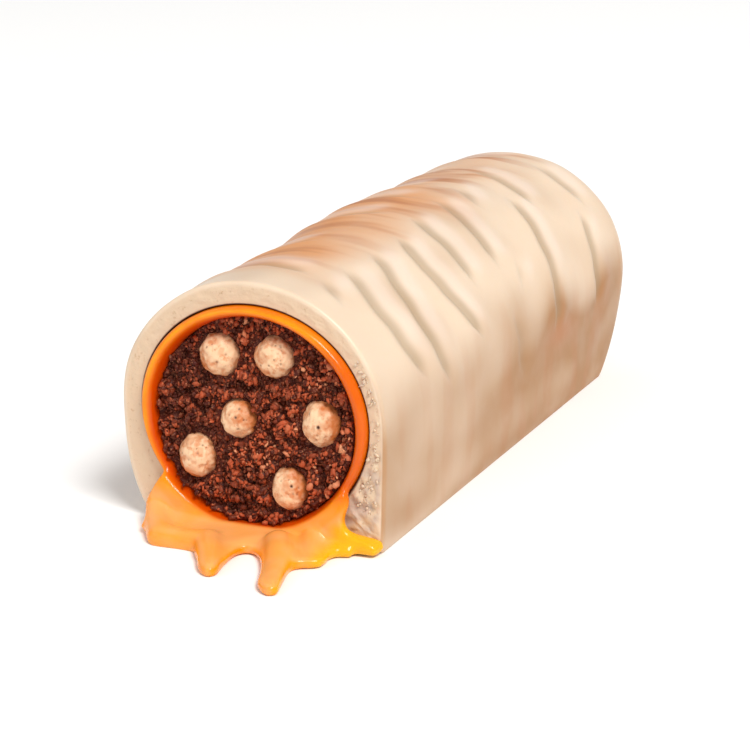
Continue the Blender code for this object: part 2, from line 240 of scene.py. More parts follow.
class CrumbSettings(bpy.types.PropertyGroup):
    spacing: length_property("Spacing", 0.25 * MM, "Distance between the grains of a layer")
    grain: length_property("Grain", 0.11 * MM, "Radius of the smallest grains")
    seed: IntProperty(name="Seed", description="Seed of the places of the grains", default=7)
    dark: colour_property("Dark", "#481206", "Colour of the darkest grains")
    brown: colour_property("Brown", "#B8522E", "Colour of most grains")
    light: colour_property("Light", "#E49A70", "Colour of the lightest grains")


class CrispSettings(bpy.types.PropertyGroup):
    bubble: length_property("Bubble", 0.6 * MM, "Size of the bubbles of a crisp ball")
    relief: length_property("Relief", 0.09 * MM, "Height of the bubbles")
    pale: colour_property("Pale", "#F0C8A0", "Colour of the crisp balls")
    # This colour is also painted shade, towards the core and in the hollows between the bubbles.
    toast_and_shade_colour: colour_property("Toast and shade", "#C86A28", "Colour of the toasted side")
    # Painted shade: the pits are darker the deeper they go.
    pit: colour_property("Pit", "#4A2412", "Colour in the pits")


class StageSettings(bpy.types.PropertyGroup):
    focal: FloatProperty(
        name="Focal length", description="Focal length of the camera", unit="CAMERA", default=110.5
    )
    key_power: FloatProperty(
        name="Key", description="Power of the key light", unit="POWER", default=16.0
    )
    fill_power: FloatProperty(
        name="Fill", description="Power of the fill light", unit="POWER", default=2.5
    )
    ambient: FloatProperty(
        name="Ambient", description="Strength of the surrounding light", min=0, default=0.5
    )
    floor_colour: colour_property("Floor", "#FDFDFD", "Colour of the floor")


def add_node(tree, kind, inputs=(), **settings):
    """Adds a node with its settings. An input is a value, or a socket that it is linked to."""
    node = tree.nodes.new(kind)
    for name, value in settings.items():
        setattr(node, name, value)
    for name, value in dict(inputs).items():
        if isinstance(value, bpy.types.NodeSocket):
            tree.links.new(value, node.inputs[name])
        else:
            node.inputs[name].default_value = value
    return node


def new_material(name, **sockets):
    """A material with a Principled shader, whose sockets are set."""
    material = bpy.data.materials.new(name)
    material.use_nodes = True
    shader = material.node_tree.nodes["Principled BSDF"]
    for socket, value in sockets.items():
        shader.inputs[socket.replace("_", " ")].default_value = value
    return material, material.node_tree, shader


def mixed(tree, factor, a, b, blend="MIX"):
    """The colour between a and b."""
    # The node's inputs 6 and 7 are its two colours, and its output 2 is the mixed one.
    colours = {6: a if isinstance(a, bpy.types.NodeSocket) else (*a, 1.0)}
    colours[7] = b if isinstance(b, bpy.types.NodeSocket) else (*b, 1.0)
    node = add_node(
        tree, "ShaderNodeMix", {0: factor, **colours}, data_type="RGBA", blend_type=blend
    )
    return node.outputs[2]


def ranged(tree, value, low, high, to_low=0.0, to_high=1.0):
    """The value, spread smoothly from low..high over to_low..to_high."""
    inputs = {0: value, 1: low, 2: high, 3: to_low, 4: to_high}
    return add_node(tree, "ShaderNodeMapRange", inputs, interpolation_type="SMOOTHSTEP").outputs[0]


def noise_at(tree, coordinates, size, detail=3.0, roughness=0.5):
    """Noise whose features have that size in metres."""
    inputs = {"Vector": coordinates, "Scale": 1 / size, "Detail": detail, "Roughness": roughness}
    return add_node(tree, "ShaderNodeTexNoise", inputs).outputs[0]


def attribute(tree, name):
    return add_node(tree, "ShaderNodeAttribute", attribute_name=name).outputs["Fac"]


def add_bump(tree, shader, height, strength, distance):
    """Fine relief in the shading, on top of what the mesh has."""
    inputs = {"Height": height, "Strength": strength, "Distance": distance}
    bump = add_node(tree, "ShaderNodeBump", inputs)
    tree.links.new(bump.outputs[0], shader.inputs["Normal"])


COATING_LAYERS = ("fold", "bright", "flank", "low", "streak", "cut", "broken", "gap_shade")


def coating_material(settings):
    """Poured white chocolate with caramelised milk: satin, softly mottled, matt where cut."""
    material, tree, shader = new_material(
        "poured_blond_chocolate",
        IOR=1.46,
        Subsurface_Weight=0.12,
        Subsurface_Radius=(1.0, 0.6, 0.35),
        Subsurface_Scale=0.8 * MM,
    )
    place = add_node(tree, "ShaderNodeTexCoord").outputs["Object"]
    fold, bright, flank, low, streak, cut, broken, gap_shade = (
        attribute(tree, name) for name in COATING_LAYERS
    )
    mottle = noise_at(tree, place, 7 * MM, 1.0)
    colour = mixed(tree, ranged(tree, mottle, 0.45, 0.75, 0.0, 0.3), settings.cream, settings.tan)
    # Painted shade: the lower sides go over to tan.
    colour = mixed(tree, low, colour, settings.tan)
    # Warm tint of the top, which on the upper left side is painted shade too.
    colour = mixed(tree, flank, colour, settings.blush)
    colour = mixed(tree, streak, colour, settings.streak)
    # Painted highlight where a fold swells behind its crease.
    colour = mixed(tree, ranged(tree, bright, 0.0, 1.0, 0.0, 0.4), colour, settings.highlight)
    # Painted shade in the creases, by their depth.
    colour = mixed(tree, ranged(tree, fold, 0.1, 0.95, 0.0, 0.46), colour, settings.crease_shade_colour)
    # The cut is dull and slightly grainy: specks of 0.2 to 0.5 mm.
    speck = noise_at(tree, place, 0.4 * MM, 4.0, 0.7)
    specks = ranged(tree, speck, 0.55, 0.75, 0.0, 0.5)
    cut_shade = mixed(tree, specks, settings.cut_colour, settings.tan)
    cut_shade = mixed(tree, broken, cut_shade, settings.crumb_colour)
    colour = mixed(tree, cut, colour, cut_shade)
    # Painted shade in the gap round the caramel.
    colour = mixed(tree, ranged(tree, gap_shade, 0.3, 0.9), colour, settings.gap_shade_colour)
    tree.links.new(colour, shader.inputs["Base Color"])
    gloss = ranged(tree, noise_at(tree, place, 2.5 * MM, 2.0), 0.3, 0.7, 0.3, 0.42)
    rough = add_node(tree, "ShaderNodeMix", {0: cut, 2: gloss, 3: 0.75}).outputs[0]
    tree.links.new(rough, shader.inputs["Roughness"])
    grain = noise_at(tree, place, 0.22 * MM, 3.0)
    strength = ranged(tree, cut, 0.0, 1.0, 0.05, 0.35)
    add_bump(tree, shader, grain, strength, 0.08 * MM)
    return material


CARAMEL_LAYERS = ("lip_shade", "sheet", "tail")


def caramel_material(settings):
    """Soft boiled caramel that has run: wet gloss, light passes a little way in."""
    material, tree, shader = new_material(
        "soft_caramel",
        IOR=1.48,
        Subsurface_Weight=0.25,
        Subsurface_Radius=(1.0, 0.35, 0.08),
        Subsurface_Scale=0.9 * MM,
        Specular_IOR_Level=0.25,
        Coat_Weight=0.12,
        Coat_Roughness=0.05,
    )
    place = add_node(tree, "ShaderNodeTexCoord").outputs["Object"]
    lip_shade, sheet, tail = (attribute(tree, name) for name in CARAMEL_LAYERS)
    cloud = noise_at(tree, place, 2.2 * MM, 2.0)
    bright = mixed(tree, ranged(tree, cloud, 0.4, 0.75, 0.0, 0.3), settings.bright, settings.deep)
    # Painted shade on the lip, in the deep colour.
    colour = mixed(tree, lip_shade, bright, settings.deep)
    thick = ranged(tree, noise_at(tree, place, 3 * MM, 1.0), 0.42, 0.62, 0.0, 0.4)
    colour = mixed(tree, sheet, colour, mixed(tree, thick, settings.peach, settings.bright))
    colour = mixed(tree, tail, colour, settings.amber)
    tree.links.new(colour, shader.inputs["Base Color"])
    gloss = ranged(tree, noise_at(tree, place, 1.2 * MM, 2.0), 0.3, 0.7, 0.14, 0.24)
    tree.links.new(gloss, shader.inputs["Roughness"])
    wave = noise_at(tree, place, 1.4 * MM, 2.0)
    add_bump(tree, shader, wave, 0.15, 0.2 * MM)
    return material


def crumb_material(settings):
    """Cocoa biscuit crumb bound with fat: dark, with lighter grains, each with a dull sheen."""
    material, tree, shader = new_material("cocoa_biscuit_crumb", IOR=1.45, Specular_IOR_Level=0.28)
    place = add_node(tree, "ShaderNodeTexCoord").outputs["Object"]
    tone = attribute(tree, "tone")
    colour = mixed(tree, ranged(tree, tone, 0.0, 0.6), settings.dark, settings.brown)
    colour = mixed(tree, ranged(tree, tone, 0.7, 1.0), colour, settings.light)
    speck = noise_at(tree, place, 0.16 * MM, 3.0, 0.7)
    colour = mixed(tree, ranged(tree, speck, 0.5, 0.75, 0.0, 0.5), colour, settings.light)
    tree.links.new(colour, shader.inputs["Base Color"])
    rough = ranged(tree, speck, 0.3, 0.7, 0.4, 0.65)
    tree.links.new(rough, shader.inputs["Roughness"])
    add_bump(tree, shader, speck, 0.6, 0.06 * MM)
    return material


def crisp_material(settings):
    """Puffed and toasted cereal: pale, bubbled, darker on one side, painted shade in its hollows.
    """
    material, tree, shader = new_material(
        "puffed_cereal",
        IOR=1.45,
        Subsurface_Weight=0.1,
        Subsurface_Radius=(1.0, 0.7, 0.4),
        Subsurface_Scale=0.4 * MM,
    )
    place = add_node(tree, "ShaderNodeTexCoord").outputs["Object"]
    pit, toast_and_shade = attribute(tree, "pit"), attribute(tree, "toast_and_shade")
    # Toast colour and painted shade in one mix.
    colour = mixed(tree, toast_and_shade, settings.pale, settings.toast_and_shade_colour)
    fleck = noise_at(tree, place, 0.42 * MM, 3.0, 0.6)
    colour = mixed(tree, ranged(tree, fleck, 0.48, 0.68, 0.0, 0.55), colour, settings.toast_and_shade_colour)
    colour = mixed(tree, pit, colour, settings.pit)
    tree.links.new(colour, shader.inputs["Base Color"])
    speck = noise_at(tree, place, 0.14 * MM, 3.0, 0.6)
    tree.links.new(ranged(tree, speck, 0.3, 0.7, 0.4, 0.6), shader.inputs["Roughness"])
    add_bump(tree, shader, speck, 0.4, 0.05 * MM)
    return material


def new_mesh(*layers):
    """An empty bmesh with those float layers on its vertices."""
    bm = bmesh.new()
    return bm, [bm.verts.layers.float.new(name) for name in layers]


def finish_piece(name, bm, material, slot, *nodes):
    """Makes the bmesh a piece that rides on the candy and stands for those solids."""
    mesh = bpy.data.meshes.new(name)
    bm.to_mesh(mesh)
    bm.free()
    mesh.materials.append(material)
    mesh.shade_smooth()
    piece = bpy.data.objects.new(name, mesh)
    bpy.context.scene.collection.objects.link(piece)
    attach(piece, "root")
    if nodes:
        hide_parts(*nodes)
    return piece


def wrap(bm, layers, rows, columns, place):
    """Closes a grid round the candy: place() gives each point, and its layers' values."""
    count = len(rows) - 1
    bmesh.ops.create_grid(bm, x_segments=columns, y_segments=count, size=1.0)
    for vert in bm.verts:
        row = rows[round((vert.co.y + 1) / 2 * count)]
        vert.co, values = place((vert.co.x + 1) / 2, *row)
        for layer, value in zip(layers, values):
            vert[layer] = value
    bmesh.ops.remove_doubles(bm, verts=bm.verts, dist=WELD)
    bmesh.ops.recalc_face_normals(bm, faces=bm.faces)


def steps(count, start=0):
    return (step / count for step in range(start, count + 1))


def parabola(points, angle):
    """The value at that angle of the parabola through three points (angle, value)."""
    (a, at_a), (b, at_b), (c, at_c) = points
    return (
        at_a * (angle - b) * (angle - c) / ((a - b) * (a - c))
        + at_b * (angle - a) * (angle - c) / ((b - a) * (b - c))
        + at_c * (angle - a) * (angle - b) / ((c - a) * (c - b))
    )


def fold_shape(behind_cut, angle, crease):
    """Rise of the coating's surface, its painted crease shade and its painted fold highlight.

    A crease is steep on the side of the cut and soft behind, as where one fold laps the next.
    """
    rise = deep = bright = 0.0
    for place, reach, height in BULGES:
        off_place = (behind_cut / MM - place) / reach
        off_angle = (angle - BULGE_ANGLE) / BULGE_SPAN
        rise += height * MM * math.exp(-(off_place**2) - off_angle**2)
    for *points, depth in FOLDS:
        start, end = points[0][0], points[2][0]
        if not start < angle < end:
            continue
        wobble = FOLD_WOBBLE * noise.noise(Vector((angle / 12, depth * 90, start)))
        offset = behind_cut - (parabola(points, angle) + wobble) * MM
        if abs(offset) > 3 * SWELL_HALF_WIDTH:
            continue
        run = smooth_step((angle - start) / FOLD_FADE) * smooth_step((end - angle) / FOLD_FADE)
        width = crease * (0.55 + 0.45 * run)
        groove = math.exp(-((offset / (width if offset < 0 else SOFT_SIDE * width)) ** 2))
        swell = 1.4 * SWELL_SHARE * math.exp(-((offset / SWELL_HALF_WIDTH) ** 2))
        rise += depth * MM * run * (swell - GROOVE_SHARE * groove)
        # How deep in a crease a place lies sets its painted shade.
        shade = math.exp(-((offset / (SHADE_WIDTH * width)) ** 2))
        deep = max(deep, depth / FULL_DEPTH * run * shade)
        # The painted highlight of a fold runs out gently, and most of all low on the left side.
        open_side = smooth_step((84 - angle) / 30) * smooth_step((angle + 85) / 60)
        glow = math.exp(-(((offset - HIGHLIGHT_BEHIND) / HIGHLIGHT_HALF_WIDTH) ** 2))
        bright = max(bright, run * open_side * glow)
    deep *= 1 - 0.6 * smooth_step((-30 - angle) / 50)
    return rise, deep, bright


def section_point(across):
    """Point (x, z) of the coating's section, and its angle from the top.

    It runs from the right foot along the base, up the left side, over the arch and down.
    """
    base, side = 0.1, 0.16  # shares of the way round that the base and each side take
    arch = 1 - base - 2 * side
    if across <= base:
        return FOOT_RIGHT - across / base * (FOOT_LEFT + FOOT_RIGHT), 0.0, 180.0
    if base + side < across < base + side + arch:
        angle = -90 + 180 * (across - base - side) / arch
        half_width = HALF_WIDTH + (EXTRA_LEFT if angle < 0 else 0)
        x = half_width * math.sin(math.radians(angle))
        return x, WAIST_HEIGHT + (HEIGHT - WAIST_HEIGHT) * math.cos(math.radians(angle)), angle
    left = across <= base + side
    down = (base + side - across) / side if left else (across - 1 + side) / side
    foot, half_width, hand = FOOT_RIGHT, HALF_WIDTH, 1
    if left:
        foot, half_width, hand = FOOT_LEFT, HALF_WIDTH + EXTRA_LEFT, -1
    x = foot + (half_width - foot) * math.cos(math.radians(90 * down))
    z = WAIST_HEIGHT * (1 - math.sin(math.radians(90 * down)))
    return hand * x, z, hand * (90 + 90 * down)


def tucked(y, z):
    """y, drawn back where the foot of the far end curves under the candy."""
    near_end = smooth_step((y - END_Y + TUCK_LENGTH) / TUCK_LENGTH)
    return y - END_TUCK * near_end * max(0.0, 1 - z / TUCK_HEIGHT) ** TUCK_CURVE


# A brown stain low on the right side: degrees from the top, and distance behind the cut.
STAIN_PLACE = (101, 33.5 * MM)
STAIN_REACH = (9, 3.2 * MM)
STAIN_STRENGTH = 0.6
# The tints fade in behind the cut's pale collar, and out again ahead of the far end.
COLLAR = 2.2 * MM
COLLAR_FADE = 3.4 * MM
END_PALE = 4 * MM
END_FADE = 3.2 * MM
TINT_WAVER = 14  # degrees that the border of a tint strays
CLOUD_SIZE = 6 * MM
BLOTCH_SIZE = 7 * MM
BAND_SIZES = (1.9 * MM, 0.8 * MM)  # of the coarse and the fine streaks along the folds


def tints(angle, behind_cut):
    """How much of the warm, the tan and the streak colour the coating has at a place.

    The top is warm, behind the cut's pale collar, and the lower sides are tan, as painted shade.
    """
    collar = smooth_step((behind_cut - COLLAR) / COLLAR_FADE)
    far = smooth_step((behind_cut - 12 * MM) / (14 * MM))
    cloud = noise.noise(Vector((behind_cut / CLOUD_SIZE, angle / 30, 4)))
    blotch = noise.noise(Vector((behind_cut / BLOTCH_SIZE, angle / 30, 13)))
    waver = TINT_WAVER * cloud
    top = collar * smooth_step((30 + waver - angle) / 44)
    # The left side goes over from the warm tint to the tan painted shade, as low down as the right
    # side does.
    top *= 1 - 0.85 * smooth_step((-38 + waver - angle) / 50)
    side = angle if angle > 0 else collar * -angle
    shade = 0.65 + 0.35 * far + 0.2 * cloud + 0.3 * blotch
    low = smooth_step((side + waver - 56) / 46) * shade
    low *= 1 - 0.12 * smooth_step((side - 140) / 25)
    # The tints run out on the far end.
    end = 1 - smooth_step((behind_cut - LENGTH + END_PALE) / END_FADE)
    top, low = top * end, low * end
    # Towards the far end the top is paler, and its streaks stand out more.
    warm = top * (
        1 - 0.55 * smooth_step((behind_cut - 24 * MM) / (18 * MM)) * smooth_step((angle + 50) / 20)
    )
    strength = 0.66 + 0.34 * smooth_step((behind_cut - 18 * MM) / (14 * MM))
    band = noise.noise(Vector((behind_cut / BAND_SIZES[0], angle / 75, 9)))
    band += 0.5 * noise.noise(Vector((behind_cut / BAND_SIZES[1], angle / 40, 2)))
    streak = (strength * top + 0.2 * max(0.0, low)) * smooth_step((band + 0.08) / 0.45)
    off_angle = (angle - STAIN_PLACE[0]) / STAIN_REACH[0]
    off_place = (behind_cut - STAIN_PLACE[1]) / STAIN_REACH[1]
    stain = STAIN_STRENGTH * math.exp(-(off_angle**2) - off_place**2)
    return warm, max(0.0, low), max(streak, stain)


def coating_outside(settings, across, y, inset):
    x, z, angle = section_point(across)
    deep = bright = 0.0
    if z > 0 and inset < HALF_WIDTH:
        free = smooth_step((END_Y - PLAIN_END - y) / END_ROUND) * smooth_step(z / PLAIN_FOOT)
        rise, deep, bright = fold_shape(y - CUT_Y, angle, settings.crease)
        lump = noise.noise(Vector((x, y, z)) / LUMP_SIZE) - 0.6
        rise = free * (rise * settings.fold_depth + LUMP_HEIGHT * lump)
        deep, bright = deep * free, bright * free
        outward = Vector((x / HALF_WIDTH, (z - WAIST_HEIGHT) / WAIST_HEIGHT)).normalized()
        x += outward.x * rise
        z += outward.y * rise
    z *= 1 - TOP_TAPER * (y - CUT_Y) / LENGTH
    scale = 1 - inset / HALF_WIDTH
    if y > 0:
        # The far end keeps its base on the table until the dome.
        drop = 1 - min(inset, END_ROUND) / HEIGHT
        dome = max(0.0, inset - END_ROUND) / (HALF_WIDTH - END_ROUND)
        z = z * drop * (1 - dome) + HEIGHT / 2 * dome
    else:
        z = HEIGHT / 2 + (z - HEIGHT / 2) * scale
    place = Vector((x * scale, tucked(y, z), z))
    return place, (deep, bright, *tints(angle, y - CUT_Y), 0.0, 0.0, 0.0)


def bore_point(outer, y, size=1.0):
    """The point of the bore that lies on the way from its middle to an outer point."""
    turn = math.atan2((outer.z - BORE_Z) / BORE_HALF_HEIGHT, (outer.x - BORE_X) / BORE_HALF_WIDTH)
    x = BORE_X + BORE_HALF_WIDTH * size * math.cos(turn)
    z = BORE_Z + BORE_HALF_HEIGHT * size * math.sin(turn)
    return Vector((x, tucked(y, z), z))


def coating_place(settings, across, zone, y, share):
    """A point of the coating: on its outside, on the cut, or in the bore."""
    if zone == "outside":
        return coating_outside(settings, across, y, share)
    rim, _ = coating_outside(settings, across, CUT_Y, CUT_EDGE)
    bore = bore_point(rim, y, share if zone == "bore" else 1.0)
    # The bore is painted dark all through, as the shade in the gap round the caramel.
    if zone == "bore":
        return bore, (0.0, 0.0, 0.0, 0.0, 0.0, 1.0, 0.0, 1.0)
    place = rim.lerp(bore, share)
    # The knife left a grainy face, which has crumbled at the lower right.
    low = smooth_step((CRUMBLED_Z - place.z) / (5 * MM))
    rough = smooth_step((place.x - CRUMBLED_X) / (2 * MM)) * low
    grain = noise.noise(place / (0.55 * MM)) + 0.6 * noise.noise(place / (0.22 * MM))
    height = (CUT_GRAIN + CRUMBLED_GRAIN * rough) * MM
    place.y += height * grain * math.sin(math.pi * share) ** 0.5
    broken = rough * smooth_step((noise.noise(place / (0.7 * MM)) + 0.08) / 0.26)
    # Painted shade: the cut darkens towards the bore.
    gap_shade = smooth_step((share - GAP_SHADE_START) / (1 - GAP_SHADE_START))
    return place, (0.0, 0.0, 0.0, 0.0, 0.0, smooth_step(share * 8), broken, gap_shade)


BORE_END_ROWS, BORE_ROWS, CUT_ROWS, CUT_EDGE_ROWS = 5, 8, 15, 4
SIDE_ROWS, END_ROUND_ROWS, END_DOME_ROWS = 285, 16, 18
COATING_COLUMNS = 250
CRUMB_SEED = 3
CRUMB_RADII = (0.05, 0.17)  # smallest and largest, in millimetres
CRUMB_LIFT = 0.02 * MM  # how far the crumbs stand out of the cut


def coating_rows():
    """Rows of the coating: the bore's end, the bore, the cut, the outside and the far end."""
    rows = [("bore", BORE_END_Y, size) for size in steps(BORE_END_ROWS)]
    for share in steps(BORE_ROWS, 1):
        rows.append(("bore", BORE_END_Y + (CUT_Y - BORE_END_Y) * share, 1.0))
    rows += [("cut", CUT_Y, 1 - share) for share in steps(CUT_ROWS, 1)]
    for share in steps(CUT_EDGE_ROWS, 1):
        turn = math.radians(90 * share)
        y = CUT_Y + CUT_EDGE * (1 - math.cos(turn))
        rows.append(("outside", y, CUT_EDGE * (1 - math.sin(turn))))
    straight = LENGTH - CUT_EDGE - END_ROUND - END_DOME
    for share in steps(SIDE_ROWS, 1):
        rows.append(("outside", CUT_Y + CUT_EDGE + straight * share, 0.0))
    for share in steps(END_ROUND_ROWS, 1):
        turn = math.radians(90 * share)
        y = END_Y - END_DOME - END_ROUND * (1 - math.sin(turn))
        rows.append(("outside", y, END_ROUND * (1 - math.cos(turn))))
    for share in steps(END_DOME_ROWS, 1):
        y = END_Y - END_DOME * (1 - share) ** 2
        rows.append(("outside", y, END_ROUND + share * (HALF_WIDTH - END_ROUND)))
    return rows


class CANDY_OT_coating(bpy.types.Operator):
    """Models the rippled coating with its cut and its bore"""

    bl_idname = "candy.coating"
    bl_label = "Coating"

    def execute(self, context):
        settings = context.scene.candy_coating
        material = coating_material(settings)
        bm, layers = new_mesh(*COATING_LAYERS)
        wrap(
            bm, layers, coating_rows(), COATING_COLUMNS, lambda *at: coating_place(settings, *at)
        )
        finish_piece("coating_skin", bm, material, "pale_coating", "coating")
        # Loose crumbs lie on the right side of the cut, most of them low down.
        rng = random.Random(CRUMB_SEED)
        bm, layers = new_mesh("cut", "broken")
        for _ in range(settings.crumbs):
            across = 0.93 - 0.2 * rng.random() ** 1.5
            rim, _ = coating_outside(settings, across, CUT_Y, CUT_EDGE)
            middle = rim.lerp(bore_point(rim, CUT_Y), rng.uniform(0.15, 0.85))
            middle.y -= CRUMB_LIFT
            radius = rng.uniform(*CRUMB_RADII) * MM
            add_grain(bm, middle, radius, rng, zip(layers, (1.0, rng.random() ** 3)))
        bmesh.ops.recalc_face_normals(bm, faces=bm.faces)
        finish_piece("coating_crumbs", bm, material, "pale_coating")
        return {"FINISHED"}


def remeshed(bm, cell):
    """The closed bmesh, made again from even cells."""
    mesh = bpy.data.meshes.new("rough")
    bm.to_mesh(mesh)
    bm.free()
    rough = bpy.data.objects.new("rough", mesh)
    bpy.context.scene.collection.objects.link(rough)
    remesh = rough.modifiers.new("remesh", "REMESH")
    remesh.mode = "VOXEL"
    remesh.voxel_size = cell
    even = bpy.data.meshes.new_from_object(
        rough.evaluated_get(bpy.context.evaluated_depsgraph_get())
    )
    bpy.data.objects.remove(rough, do_unlink=True)
    bm = bmesh.new()
    bm.from_mesh(even)
    return bm


def cut_off_behind(bm, y):
    """Cuts away all that lies behind y and returns the open edges."""
    geometry = [*bm.verts, *bm.edges, *bm.faces]
    bmesh.ops.bisect_plane(
        bm,
        geom=geometry,
        dist=PLANE_SLACK,
        plane_co=(0, y, 0),
        plane_no=(0, 1, 0),
        clear_outer=True,
    )
    return [edge for edge in bm.edges if edge.is_boundary]


def tube_to_end(bm, open_edges):
    """Draws the open edges of the tube on to its far end and closes them there."""
    for y in (END_Y - TUCK_LENGTH, TUBE_END_Y):
        drawn = bmesh.ops.extrude_edge_only(bm, edges=open_edges)["geom"]
        for vert in drawn:
            if isinstance(vert, bmesh.types.BMVert):
                vert.co.y = y
        open_edges = [item for item in drawn if isinstance(item, bmesh.types.BMEdge)]
        open_edges = [edge for edge in open_edges if edge.is_boundary]
    bmesh.ops.triangle_fill(bm, edges=open_edges, use_beauty=True)
    for vert in bm.verts:
        vert.co.y = tucked(vert.co.y, vert.co.z)


def add_drip(bm, points):
    """A run of balls that overlap, through the points."""
    for start, end in zip(points, points[1:]):
        for share in steps(7):
            across, ahead, up, radius = (a + (b - a) * share for a, b in zip(start, end))
            place = Matrix.Translation((across * MM, CUT_Y - ahead * MM, up * MM))
            bmesh.ops.create_icosphere(bm, subdivisions=3, radius=radius * MM, matrix=place)


SOLID_TUBE = 5 * MM  # length of the solid's tube, behind the cut, that is remeshed
FINE_TUBE = 4 * MM  # and of the part of it that is kept
SHEET_START = 1.2 * MM  # ahead of the cut
SHEET_THICKNESS = 0.7  # share of the solid's
SLOPE_LEFT, SLOPE_RIGHT = -7.0 * MM, 6.2 * MM
SLOPE_START = 0.4 * MM  # ahead of the cut
SLOPE_TOP = 1.9 * MM
SLOPE_FOOT = 0.6 * MM
SLOPE_UNDERSIDE = 0.25 * MM
LIP_FALL = 7.4 * MM  # how far below the bore's middle the lip goes down
LIP_HALF_WIDTH = 8.6 * MM


def add_slope(bm):
    """The caramel that slopes from the lip and the lower cut down to the table."""
    grid = bmesh.ops.create_grid(bm, x_segments=40, y_segments=8, size=1.0)["verts"]
    faces = {face for vert in grid for face in vert.link_faces}
    for vert in grid:
        across, share = (vert.co.x + 1) / 2, (vert.co.y + 1) / 2
        x = SLOPE_LEFT + (SLOPE_RIGHT - SLOPE_LEFT) * across
        lip = BORE_Z - LIP_FALL * math.sqrt(1 - (x / LIP_HALF_WIDTH) ** 2)
        top = min(lip + 0.2 * MM, SLOPE_TOP)
        reach = (2.6 - 1.3 * smooth_step(across * 1.2 - 0.3)) * MM
        z = SLOPE_FOOT + max(0.0, top - SLOPE_FOOT) * (1 - share) ** 1.5
        vert.co = (x, CUT_Y - SLOPE_START - reach * share, z)
    raised = bmesh.ops.extrude_face_region(bm, geom=list(faces))["geom"]
    for item in raised:
        if isinstance(item, bmesh.types.BMVert):
            item.co.z = SLOPE_UNDERSIDE


class CANDY_OT_caramel(bpy.types.Operator):
    """Models the caramel tube with its lip and the caramel that ran out"""

    bl_idname = "candy.caramel"
    bl_label = "Caramel"

    def execute(self, context):
        settings = context.scene.candy_caramel
        bm = bmesh.new()
        bm.from_mesh(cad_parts["caramel"].data)
        bmesh.ops.remove_doubles(bm, verts=bm.verts, dist=SOLID_WELD)
        bmesh.ops.bridge_loops(bm, edges=cut_off_behind(bm, CUT_Y + SOLID_TUBE))
        # The sheet on the table is thin, and the drips stand out of it.
        for vert in bm.verts:
            if vert.co.y < CUT_Y - SHEET_START:
                vert.co.z *= SHEET_THICKNESS
        add_slope(bm)
        for points in DRIPS:
            add_drip(bm, points)
        bmesh.ops.recalc_face_normals(bm, faces=bm.faces)
        bm = remeshed(bm, settings.grid)
        lip_shade, sheet, tail = (bm.verts.layers.float.new(name) for name in CARAMEL_LAYERS)
        for _ in range(settings.smoothing):
            bmesh.ops.smooth_vert(
                bm, verts=bm.verts, factor=0.5, use_axis_x=True, use_axis_y=True, use_axis_z=True
            )
        bm.normal_update()
        for vert in bm.verts:
            x, y, z = vert.co
            vert.co.z = max(z, 0.0)
            reach = math.hypot((x - BORE_X) / HOLE_HALF_WIDTH, (z - HOLE_Z) / HOLE_HALF_HEIGHT)
            ran_out = smooth_step((CUT_Y - 0.8 * MM - y) / (0.7 * MM))
            # Painted shade: the lip's inner wall, which faces into the funnel, takes the deep
            # colour.
            wall = smooth_step((1.09 - reach) / 0.07) * (1 - ran_out)
            # The lip is painted darker as shade along its outer edge too, and on its right side,
            # down to where the sheet joins it.
            above_sheet = smooth_step((z - 2.8 * MM) / (1.5 * MM))
            edge = math.hypot((x - BORE_X) / BORE_HALF_WIDTH, (z - BORE_Z) / BORE_HALF_HEIGHT)
            edge = 0.6 * smooth_step((edge - 0.95) / 0.05)
            edge = max(edge, 0.75 * smooth_step((x - 3 * MM) / (4 * MM))) * above_sheet
            # The tube behind the cut takes the deep colour too, as painted shade.
            vert[lip_shade] = max(wall, edge, smooth_step((y - CUT_Y + 0.3 * MM) / (0.6 * MM)))
            past_lip = smooth_step((reach - 1.12) / 0.08) * smooth_step((CUT_Y - y) / (0.3 * MM))
            outside = max(ran_out, past_lip)
            # Painted light: the sheet is peach where it faces up or forward, and its sides keep
            # the lip's deeper orange as shade.
            facing = max(vert.normal.z, (0.3 * ran_out - 1) * vert.normal.y)
            open_side = smooth_step((facing - 0.35) / 0.5)
            vert[sheet] = outside * open_side * smooth_step(1 - (z - 2 * MM) / (1.5 * MM))
            low = smooth_step((2.4 * MM - z) / (0.8 * MM))
            vert[tail] = low * smooth_step((x - 5.6 * MM) / (1.2 * MM))
        tube_to_end(bm, cut_off_behind(bm, CUT_Y + FINE_TUBE))
        finish_piece("caramel_flow", bm, caramel_material(settings), "caramel", "caramel")
        return {"FINISHED"}


def core_face(z):
    """Where the face of the core lies at that height: it leans out over the lip's lowest place."""
    return CUT_Y + CORE_RECESS + CORE_LEAN * (z - HOLE_Z) / HOLE_HALF_HEIGHT


CLUMP_SIZE = 0.8 * MM
CLUMP_GRAIN = 0.3 * MM
# Depths in millimetres: of the gaps, of the grain on the clumps, and round each crisp ball.
CLUMP_DEPTH, CLUMP_GRAIN_DEPTH, BALL_HOLLOW = 0.5, 0.18, 0.2
CORE_ROWS, CORE_END_ROWS, CORE_COLUMNS = 80, 5, 280
GRAIN_LAYERS = 3
GRAIN_REACH = 0.985  # share of the hole that the grains fill
BALL_MARGIN = 1.04  # a ball's radius, as far as the grains are concerned


